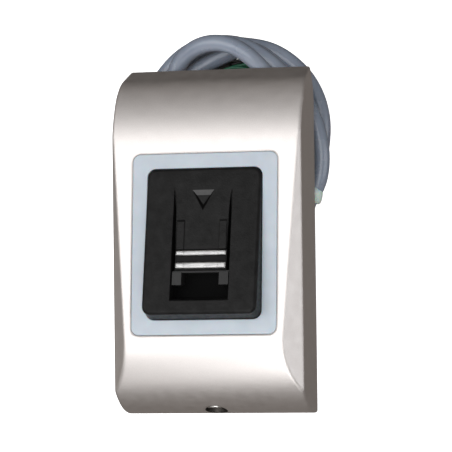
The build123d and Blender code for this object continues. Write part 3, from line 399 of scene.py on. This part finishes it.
spring = nodes["tamper_spring"].copy()
spring.data = nodes["tamper_spring"].data.copy()
spring.name = "plunger_spring"
spring.parent = None
spring.matrix_world = nodes["tamper_spring"].matrix_world.copy()
scene.collection.objects.link(spring)
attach(spring, "housing")
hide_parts("tamper_spring")
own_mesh(spring)


def face_point(u, v, w, slope=math.radians(4.8)):
    """From the front face's own axes (u right, v up, w out) to millimetres in the row frame."""
    return Vector((u, -1.1 + v * math.cos(slope) + w * math.sin(slope), 17.66 - v * math.sin(slope) + w * math.cos(slope)))


def swipe_arrow():
    """The engraved arrow's walls: a shallow slope at the top, painted lighter as a painted highlight, and two steep
    walls that meet in a point, painted near-black as painted shade.
    """
    def on_tongue(u, v, lift):
        return face_point(u, v, 0.755 + (16.0 - v) * 0.104 + lift) * MM
    bm = bmesh.new()
    n = 6
    outer, inner = [(-2.95, 14.07), (2.95, 14.07), (0.0, 8.6)], [(-1.85, 12.7), (1.85, 12.7), (0.0, 10.1)]
    def ring(points, lift):
        out = []
        for a, b in zip(points, points[1:] + points[:1]):
            for k in range(n):
                t = k / n
                out.append(bm.verts.new(on_tongue(a[0] + (b[0] - a[0]) * t, a[1] + (b[1] - a[1]) * t, lift)))
        return out
    rim, mid, low = ring(outer, 0.012), ring([((a[0] + b[0]) / 2, (a[1] + b[1]) / 2) for a, b in zip(outer, inner)], -0.165), ring(inner, -0.36)
    count = len(rim)
    for k in range(count):
        for a, b in ((rim, mid), (mid, low)):
            f = bm.faces.new((a[k], a[(k + 1) % count], b[(k + 1) % count], b[k]))
            f.material_index = 1 if k < n else 0
    bm.faces.new(low).material_index = 2
    bmesh.ops.recalc_face_normals(bm, faces=bm.faces)
    if sum((f.normal.z for f in bm.faces)) < 0:
        bmesh.ops.reverse_faces(bm, faces=bm.faces)
    o = mesh_piece("swipe_arrow", bm, M["arrow_wall"], smooth=False)
    o.data.materials.append(M["arrow_slope"])
    o.data.materials.append(M["block"])
    return o


arrow = swipe_arrow()
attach(arrow, "housing")


def bundle_tie():
    """A soft tie wrapped round the four strands: hull of the strands, plus its own thickness."""
    strands = [(17.3, -10.9), (21.7, -10.9), (23.0, -6.3), (18.4, -6.3)]
    centre = Vector((sum(s[0] for s in strands) / 4, sum(s[1] for s in strands) / 4))
    n = 72
    outline = []
    for k in range(n):
        a = 2 * math.pi * k / n
        u = Vector((math.cos(a), math.sin(a)))
        reach = max((Vector(s) - centre).dot(u) for s in strands)
        outline.append((u, reach + CABLE_D / 2))
    # support function to points of the hull
    pts = []
    for k in range(n):
        u, h = outline[k]
        hn, hp = outline[(k + 1) % n][1], outline[k - 1][1]
        dh = (hn - hp) / (2 * 2 * math.pi / n)
        pts.append(centre + u * h + Vector((-u.y, u.x)) * dh)
    along = Vector((0.13, 0.985, 0.0)).normalized()
    across = Vector((0.985, -0.13, 0.0))
    bm = bmesh.new()
    profile = [(-2.15, 0.10), (-2.25, 0.5), (-1.95, 0.95), (-1.05, 1.22), (0.0, 1.32), (1.05, 1.22), (1.95, 0.95), (2.25, 0.5), (2.15, 0.10)]
    rings = []
    for k in range(n):
        u = outline[k][0]
        c = pts[k]
        ripple = 0.10 * math.sin(3 * k * 2 * math.pi / n + 0.7) + 0.06 * math.sin(7 * k * 2 * math.pi / n)
        row = []
        for t, h in profile:
            q = c + u * (h * (1 + ripple * 0.6) - 0.08)
            wobble = 0.18 * math.sin(2 * k * 2 * math.pi / n + t)
            base = Vector((0, 12.55, 0)) + along * (t + wobble)
            p = Vector((q.x - centre.x, 0, 0))
            row.append(bm.verts.new((Vector((centre.x, 0, q.y)) + across * p.x + base) * MM))
        rings.append(row)
    for k in range(n):
        a, b = rings[k], rings[(k + 1) % n]
        for j in range(len(profile) - 1):
            bm.faces.new((a[j], b[j], b[j + 1], a[j + 1]))
        bm.faces.new((a[-1], b[-1], b[0], a[0]))
    bmesh.ops.recalc_face_normals(bm, faces=bm.faces)
    o = mesh_piece("bundle_tie", bm, M["tie"])
    return o


tie = bundle_tie()
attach(tie, "housing")
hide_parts("cable_tie")

# ---------------------------------------------------------------- floor and light
FLOOR = -0.0147
bm = bmesh.new()
for x, y in ((-3, -3), (3, -3), (3, 3), (-3, 3)):
    bm.verts.new((x, y, FLOOR))
bm.faces.new(bm.verts)
m, nt, p = new_mat("pale_floor")
vec = coords(nt)
nt.links.new(two_tone(nt, noise(nt, vec, 3.0, 2.0), (0.86, 0.86, 0.86), (0.90, 0.90, 0.90)), p.inputs["Base Color"])
p.inputs["Roughness"].default_value = 0.9
p.inputs["Specular IOR Level"].default_value = 0.1
p.inputs["Emission Color"].default_value = (1.0, 1.0, 1.0, 1.0)
p.inputs["Emission Strength"].default_value = 1.0
floor = mesh_piece("floor", bm, m, smooth=False)
floor.visible_glossy = False
floor.visible_diffuse = False


def softbox(name, direction, distance, size, radiance, colour=(1, 1, 1), aim=(0, 0.002, 0.01), size_y=None):
    li = bpy.data.lights.new(name, "AREA")
    li.shape = "RECTANGLE"
    li.size = size
    li.size_y = size_y or size
    li.energy = radiance * math.pi * li.size * li.size_y
    li.color = colour
    o = bpy.data.objects.new(name, li)
    scene.collection.objects.link(o)
    d = Vector(direction).normalized()
    o.location = Vector(aim) + d * distance
    o.rotation_mode = "QUATERNION"
    o.rotation_quaternion = d.to_track_quat("Z", "Y")
    return o


softbox("key", (-0.20, 0.06, 0.95), 1.6, 1.2, 1.74, (1.0, 1.0, 1.0), size_y=2.6)
softbox("low_near", (0.10, -0.62, 0.78), 0.22, 0.10, 4.5, (1.0, 1.0, 1.0), aim=(0.008, -0.028, 0.02))
softbox("low_strip", (-0.22, -0.86, 0.45), 0.6, 0.26, 1.6, (1.0, 1.0, 1.0), aim=(0.0, -0.03, 0.015), size_y=0.10)
softbox("right_card", (1.0, 0.0, 0.22), 1.2, 0.5, 1.5, (0.98, 1.0, 1.02), size_y=1.0)
softbox("left_card", (-1.0, -0.1, 0.15), 1.2, 0.5, 0.35, (1.0, 0.98, 0.95), size_y=1.0)

world = bpy.data.worlds.new("Studio")
scene.world = world
world.use_nodes = True
wt = world.node_tree
for n in list(wt.nodes):
    wt.nodes.remove(n)
out = wt.nodes.new("ShaderNodeOutputWorld")
seen = wt.nodes.new("ShaderNodeBackground")
seen.inputs["Color"].default_value = (0.94, 0.94, 0.94, 1)
lit = wt.nodes.new("ShaderNodeBackground")
tc = wt.nodes.new("ShaderNodeTexCoord")
sep = wt.nodes.new("ShaderNodeSeparateXYZ")
wt.links.new(tc.outputs["Generated"], sep.inputs[0])
ramp = wt.nodes.new("ShaderNodeValToRGB")
ramp.color_ramp.elements[0].position = 0.0
ramp.color_ramp.elements[0].color = (0.135, 0.12, 0.108, 1)
ramp.color_ramp.elements[1].position = 1.0
ramp.color_ramp.elements[1].color = (0.36, 0.355, 0.35, 1)
mr = wt.nodes.new("ShaderNodeMapRange")
mr.inputs["From Min"].default_value = -0.2
mr.inputs["From Max"].default_value = 0.9
wt.links.new(sep.outputs["Z"], mr.inputs["Value"])
wt.links.new(mr.outputs["Result"], ramp.inputs["Fac"])
wt.links.new(ramp.outputs["Color"], lit.inputs["Color"])
# the studio is darker beyond the top of the terminal
dim = wt.nodes.new("ShaderNodeMapRange")
dim.inputs["From Min"].default_value = 1.42
dim.inputs["From Max"].default_value = 1.72
dim.inputs["To Min"].default_value = 1.0
dim.inputs["To Max"].default_value = 0.3
low = wt.nodes.new("ShaderNodeVectorMath")
low.operation = "DOT_PRODUCT"
low.inputs[1].default_value = (0.0, 1.5, -1.0)
wt.links.new(tc.outputs["Generated"], low.inputs[0])
wt.links.new(low.outputs["Value"], dim.inputs["Value"])
wt.links.new(dim.outputs["Result"], lit.inputs["Strength"])
lp = wt.nodes.new("ShaderNodeLightPath")
mx = wt.nodes.new("ShaderNodeMixShader")
wt.links.new(lp.outputs["Is Camera Ray"], mx.inputs[0])
wt.links.new(lit.outputs[0], mx.inputs[1])
wt.links.new(seen.outputs[0], mx.inputs[2])
wt.links.new(mx.outputs[0], out.inputs[0])

scene.view_settings.view_transform = "Standard"
scene.view_settings.look = "None"
scene.view_settings.exposure = 0.0
scene.view_settings.gamma = 1.0
